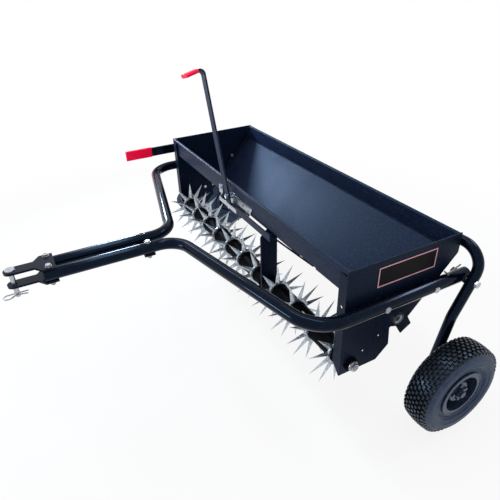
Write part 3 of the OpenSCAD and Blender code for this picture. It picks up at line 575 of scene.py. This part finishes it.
def tread_block():
    """A cube at the origin, drawn in towards its top, with a small bevel."""
    fresh()
    bpy.ops.mesh.primitive_cube_add(size=1)
    obj = bpy.context.object
    obj.scale = BLOCK_SIZE
    bpy.ops.object.transform_apply(scale=True)
    bpy.ops.object.mode_set(mode="EDIT")
    pick_faces(obj, lambda c: c.z > 0.4 * BLOCK_SIZE[2])
    bpy.ops.transform.resize(value=(BLOCK_TAPER, BLOCK_TAPER, 1))
    bpy.ops.mesh.bevel(offset=BLOCK_BEVEL, segments=1)
    bpy.ops.object.mode_set(mode="OBJECT")
    return obj


def tread_row(centre, x, radius, lean, shift):
    """One block set on the crown and copied round the tyre."""
    obj = tread_block()
    seat = Matrix.Translation(centre) @ Matrix.Rotation(shift, 4, "X")
    seat = seat @ Matrix.Translation((x, 0, radius)) @ Matrix.Rotation(lean, 4, "Y")
    obj.data.transform(seat @ Matrix.Translation((0, 0, -BLOCK_SIZE[2] / 2)))
    bpy.ops.object.mode_set(mode="EDIT")
    spin_about_axle(centre, BLOCKS - 1, True, math.tau * (BLOCKS - 1) / BLOCKS)
    bpy.ops.object.mode_set(mode="OBJECT")
    return obj


print("a row has", BLOCKS, "blocks")

# %% [markdown]
# The carcass and its rows are joined to one tyre. Faces far enough out from the axle take the darker,
# shinier tread rubber, and the finished tyre stands in for the plain solid on its wheel.

# %% Turf tyres
ROW_COUNT = 7
ROW_STEP = 0.0088
ROW_SUNK = 0.0003
SHOULDER_ANGLE = 48
SHOULDER_OUT = 0.0022
SHOULDER_LEAN = 0.75
TREAD_FROM = 0.1105


def turf_tyre(name, node, body):
    near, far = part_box(node)
    centre = (near + far) / 2
    pieces = [carcass(name, centre)]
    half_step = math.pi / BLOCKS
    for i in range(ROW_COUNT):
        x = (i - (ROW_COUNT - 1) / 2) * ROW_STEP
        lean = math.asin(x / CROWN_R)
        pieces.append(tread_row(centre, x, crown(x) - ROW_SUNK, lean, i % 2 * half_step))
    x, radius = wall(SHOULDER_ANGLE)
    shift = ROW_COUNT % 2 * half_step
    for side in (-1, 1):
        pieces.append(tread_row(centre, side * x, radius + SHOULDER_OUT, side * SHOULDER_LEAN, shift))
    fresh()
    for piece in pieces:
        piece.select_set(True)
    bpy.context.view_layer.objects.active = pieces[0]
    bpy.ops.object.join()
    tyre = hand_over(pieces[0], body, "tyre_rubber", 35)
    tyre.data.materials.append(tread_finish)
    for face in tyre.data.polygons:
        out = face.center - centre
        if math.hypot(out.y, out.z) > TREAD_FROM:
            face.material_index = 1
    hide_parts(node)


turf_tyre("turf_tyre_right", "tyre_right", "wheel_right")
turf_tyre("turf_tyre_left", "tyre_left", "wheel_left")

# %% [markdown]
# Dipped vinyl has no sharp edges. Each grip is a copy of its solid with doubled points merged and flat
# faces joined, so that a wide bevel can round its corners, and it then stands in for the solid. The thick
# dip on the flow lever is also drawn out sideways, to look as full as the real one.

# %% Soft grips
GRIP_ROUND = 0.0035
ROUND_STEPS = 4
FLAT_WITHIN = math.radians(1)
SHARP_FROM = math.radians(40)


def soft_grip(name, node, body, fuller):
    fresh()
    nodes[node].select_set(True)
    bpy.context.view_layer.objects.active = nodes[node]
    bpy.ops.object.duplicate()
    obj = bpy.context.object
    obj.name = name
    bpy.ops.object.mode_set(mode="EDIT")
    bpy.ops.mesh.select_all(action="SELECT")
    bpy.ops.mesh.remove_doubles(threshold=TOUCHING)
    bpy.ops.mesh.dissolve_limited(angle_limit=FLAT_WITHIN)
    bpy.ops.mesh.select_all(action="DESELECT")
    bpy.ops.mesh.select_mode(type="EDGE")
    bpy.ops.mesh.edges_select_sharp(sharpness=SHARP_FROM)
    bpy.ops.mesh.bevel(offset=GRIP_ROUND, segments=ROUND_STEPS, clamp_overlap=True)
    bpy.ops.mesh.select_all(action="SELECT")
    low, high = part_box(node)
    bpy.ops.transform.resize(value=(fuller, 1, 1), center_override=(low + high) / 2)
    close_up()
    hand_over(obj, body, "red_vinyl", 50)
    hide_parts(node)


soft_grip("soft_flow_grip", "flow_grip", "lever", 1.6)
soft_grip("soft_lift_grip", "lift_grip", "transport", 1.0)

# %% [markdown]
# Folded sheet shows its folds. Along the back wall's bend runs a thin pale line, and at each end the
# sloping wall is turned up in a narrow flange against the end plate. Both are small trim: a rod along the
# bend, so thin that the coat's pale edge colour covers much of it and paints a highlight along the bend,
# and a bevelled strip that lies on the slope.

# %% Fold trim
BEND = Vector((0, 0.1535, -0.0510))
BEAD_R = 0.0016
BEAD_SIDES = 16
BEAD_BEVEL = 0.0002
BEAD_PROUD = Vector((0, -0.0006, 0.0004))
BEAD_SHORT = 0.002
FLANGE_SIZE = (0.0022, 0.1860, 0.0090)
FLANGE_BELOW = 0.004
FLANGE_BEVEL = 0.0006
SLOPE = math.radians(45.2)
TRIM_SMOOTH = 40


def bevel_all(offset, segments):
    """Bevels every edge of the piece just made."""
    bpy.ops.object.mode_set(mode="EDIT")
    bpy.ops.mesh.select_all(action="SELECT")
    bpy.ops.mesh.bevel(offset=offset, segments=segments)
    close_up()


def fold_bead():
    fresh()
    low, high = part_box("hopper_tray")
    length = high.x - low.x - BEAD_SHORT
    bpy.ops.mesh.primitive_cylinder_add(vertices=BEAD_SIDES, radius=BEAD_R, depth=length,
                                        location=RIM + BEND + BEAD_PROUD, rotation=(0, math.pi / 2, 0))
    bead = bpy.context.object
    bead.name = "back_fold_bead"
    bevel_all(BEAD_BEVEL, 1)
    # Its pale edge colour paints a line of highlight along the bend.
    hand_over(bead, "chassis", "black_coat", TRIM_SMOOTH)


def end_flange(name, x):
    """A strip on the slope: half its length down from the bend, half its height above the sheet."""
    fresh()
    down = Vector((0, -math.cos(SLOPE), -math.sin(SLOPE)))
    above = Vector((0, -math.sin(SLOPE), math.cos(SLOPE)))
    place = RIM + BEND + Vector((x, 0, 0))
    place += down * (FLANGE_SIZE[1] / 2 + FLANGE_BELOW) + above * FLANGE_SIZE[2] / 2
    bpy.ops.mesh.primitive_cube_add(size=1, location=place, rotation=(SLOPE, 0, 0))
    flange = bpy.context.object
    flange.name = name
    flange.scale = FLANGE_SIZE
    bpy.ops.object.transform_apply(location=True, rotation=True, scale=True)
    bevel_all(FLANGE_BEVEL, 2)
    hand_over(flange, "chassis", "black_coat", TRIM_SMOOTH)


fold_bead()
wall_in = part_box("hopper_tray")[1].x - FLANGE_SIZE[0] / 2
end_flange("left_end_flange", -wall_in)
end_flange("right_end_flange", wall_in)

# %% [markdown]
# The near end plate carries a plain badge panel: a black film with a pale red border line. Film and line
# could be painted on the plate, but a thin plate of its own keeps the line crisp, so two finishes are
# mixed for it first.

# %% Badge finishes
PANEL_BLACK = (0.001, 0.001, 0.002)
PANEL_HAZE = (0.003, 0.003, 0.005)
LINE_RED = (0.62, 0.24, 0.33)
LINE_PALE = (0.85, 0.50, 0.58)


def field_finish():
    film = Finish("black_badge_film", Specular_IOR_Level=0.06)
    haze = film.noise(25, detail=4)
    film.feed("Base Color", haze.mix(PANEL_BLACK, PANEL_HAZE))
    film.feed("Roughness", 0.3 + 0.12 * haze)
    film.bump(film.noise(500, detail=2), 0.0001, strength=0.3)
    return film.material


def border_finish():
    line = Finish("pale_border_line")
    fade = line.noise(80, detail=4)
    line.feed("Base Color", fade.mix(LINE_RED, LINE_PALE))
    line.feed("Roughness", 0.35 + 0.15 * fade)
    line.bump(fade, 0.0001, strength=0.3)
    return line.material


panel_finishes = (field_finish(), border_finish())
print("badge finishes:", [finish.name for finish in panel_finishes])

# %% [markdown]
# The panel starts as a thin cube. Its outer face is inset twice, which leaves a narrow margin, a border
# ring and a field. The faces of the ring are then found by their place and take the line's finish.

# %% Badge panel
PANEL_Y = (-0.0805, 0.0910)
PANEL_Z = (-0.0690, -0.0162)
PANEL_THICK = 0.0006
BORDER_IN = 0.0012
BORDER_W = 0.0030

plate_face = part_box("end_plate_right")[1].x
panel_centre = Vector((plate_face + PANEL_THICK / 2, RIM.y + sum(PANEL_Y) / 2, RIM.z + sum(PANEL_Z) / 2))
panel_size = Vector((PANEL_THICK, PANEL_Y[1] - PANEL_Y[0], PANEL_Z[1] - PANEL_Z[0]))

fresh()
bpy.ops.mesh.primitive_cube_add(size=1)
panel = bpy.context.object
panel.name = "badge_panel"
panel.scale = panel_size
panel.location = panel_centre
bpy.ops.object.transform_apply(location=True, scale=True)
bpy.ops.object.mode_set(mode="EDIT")
pick_faces(panel, lambda c: c.x > plate_face + 0.9 * PANEL_THICK)
bpy.ops.mesh.inset(thickness=BORDER_IN)
bpy.ops.mesh.inset(thickness=BORDER_W)
bpy.ops.object.mode_set(mode="OBJECT")
hand_over(panel, "chassis", "black_coat", 30)

panel.data.materials.clear()
for finish in panel_finishes:
    panel.data.materials.append(finish)
inner_y = panel_size.y / 2 - BORDER_IN - BORDER_W
inner_z = panel_size.z / 2 - BORDER_IN - BORDER_W
for face in panel.data.polygons:
    offset = face.center - panel_centre
    on_front = face.normal.x > 0.9
    off_field = abs(offset.y) > inner_y or abs(offset.z) > inner_z
    on_line = abs(offset.y) < inner_y + BORDER_W and abs(offset.z) < inner_z + BORDER_W
    if on_front and off_field and on_line:
        face.material_index = 1

# %% [markdown]
# The studio is a white sweep. The floor is one big plane that mixes plain white paint with a glow that only
# the camera and reflections see, so the ground comes out white and the shadow stays. The mix goes to pure
# white away from the machine, which hides the far edge. The world does the same: it lights the machine
# gently and is seen as white.

# %% Floor and backdrop
FLOOR_SIZE = 30
FLOOR_PAINT = (0.82, 0.82, 0.82)
SHADOW_REACH = (0.9, 1.9)
SHADOW_SHARE = 0.14
WORLD_LIGHT = 0.55
WHITE = (1, 1, 1)


def seen_directly(socket):
    """1 for rays from the camera and for those from mirrors and glass."""
    names = ("Is Camera Ray", "Is Glossy Ray", "Is Transmission Ray")
    camera_ray, glossy_ray, glass_ray = [socket.make("LightPath", {}, {}, name) for name in names]
    settings = {"operation": "ADD", "use_clamp": True}
    return socket.make("Math", settings, {0: camera_ray + glossy_ray, 1: glass_ray})


def studio_floor():
    fresh()
    bpy.ops.mesh.primitive_plane_add(size=FLOOR_SIZE)
    floor = bpy.context.object
    floor.name = "studio_floor"
    paint = Finish("floor_paint", Base_Color=FLOOR_PAINT, Roughness=0.9, Specular_IOR_Level=0.1)
    far_away = paint.make("VectorMath", {"operation": "LENGTH"}, {0: paint}, "Value").step(*SHADOW_REACH)
    share = (1 - SHADOW_SHARE) + SHADOW_SHARE * far_away
    glow = paint.make("Emission", {}, {"Color": WHITE, "Strength": 1.0})
    mixed = paint.make("MixShader", {}, {0: share * seen_directly(paint), 2: glow})
    tree = paint.tree
    tree.links.new(paint.shader.outputs[0], mixed.output.node.inputs[1])
    tree.links.new(mixed.output, tree.nodes["Material Output"].inputs["Surface"])
    floor.data.materials.append(paint.material)


def studio_world():
    world = bpy.data.worlds.new("studio_world")
    bpy.context.scene.world = world
    world.use_nodes = True
    tree = world.node_tree
    sky = Socket(tree, None)
    lit = sky.make("Background", {}, {"Color": WHITE, "Strength": WORLD_LIGHT})
    seen = sky.make("Background", {}, {"Color": WHITE, "Strength": 1.0})
    both = sky.make("MixShader", {}, {0: seen_directly(sky), 1: lit, 2: seen})
    tree.links.new(both.output, tree.nodes["World Output"].inputs["Surface"])


studio_floor()
studio_world()
print("floor of", FLOOR_SIZE, "m, world light", WORLD_LIGHT)

# %% [markdown]
# Five soft boxes light the machine. A small cold one, low on the left, throws the far end plate's shadow on
# the sloping wall. A strip above it and one behind draw the lines of light along the tubes. A wide weak one
# hangs overhead, and a low one in front lifts the front strip and the tines.

# %% Soft boxes
COLD = (0.62, 0.80, 1.0)
COOL = (0.80, 0.90, 1.0)


def soft_box(name, place, aim, size, power, colour):
    data = bpy.data.lights.new(name, "AREA")
    data.shape = "RECTANGLE"
    data.size = size[0]
    data.size_y = size[1]
    data.energy = power
    data.color = colour
    lamp = bpy.data.objects.new(name, data)
    turned = (Vector(aim) - Vector(place)).to_track_quat("-Z", "Y").to_matrix().to_4x4()
    lamp.matrix_world = Matrix.Translation(place) @ turned
    bpy.context.scene.collection.objects.link(lamp)


soft_box("key_box", (-1.09, -0.05, 0.85), (0, 0.30, 0.40), (0.22, 0.20), 12, COLD)
soft_box("strip_box", (-1.25, -0.15, 1.75), (0, 0.2, 0.35), (0.20, 0.6), 5, COOL)
soft_box("top_box", (0.0, 0.0, 2.4), (0, 0.2, 0.3), (1.8, 0.30), 12, WHITE)
soft_box("fill_box", (-0.3, -2.0, 0.60), (0, 0.1, 0.35), (0.7, 0.3), 15, COOL)
soft_box("back_box", (0.6, 1.6, 1.9), (0.4, 0.2, 0.35), (0.9, 0.2), 9, WHITE)

# %% [markdown]
# Colours are shown as they are written, so the view transform is the plain one.

# %% Finish
bpy.context.scene.view_settings.view_transform = "Standard"
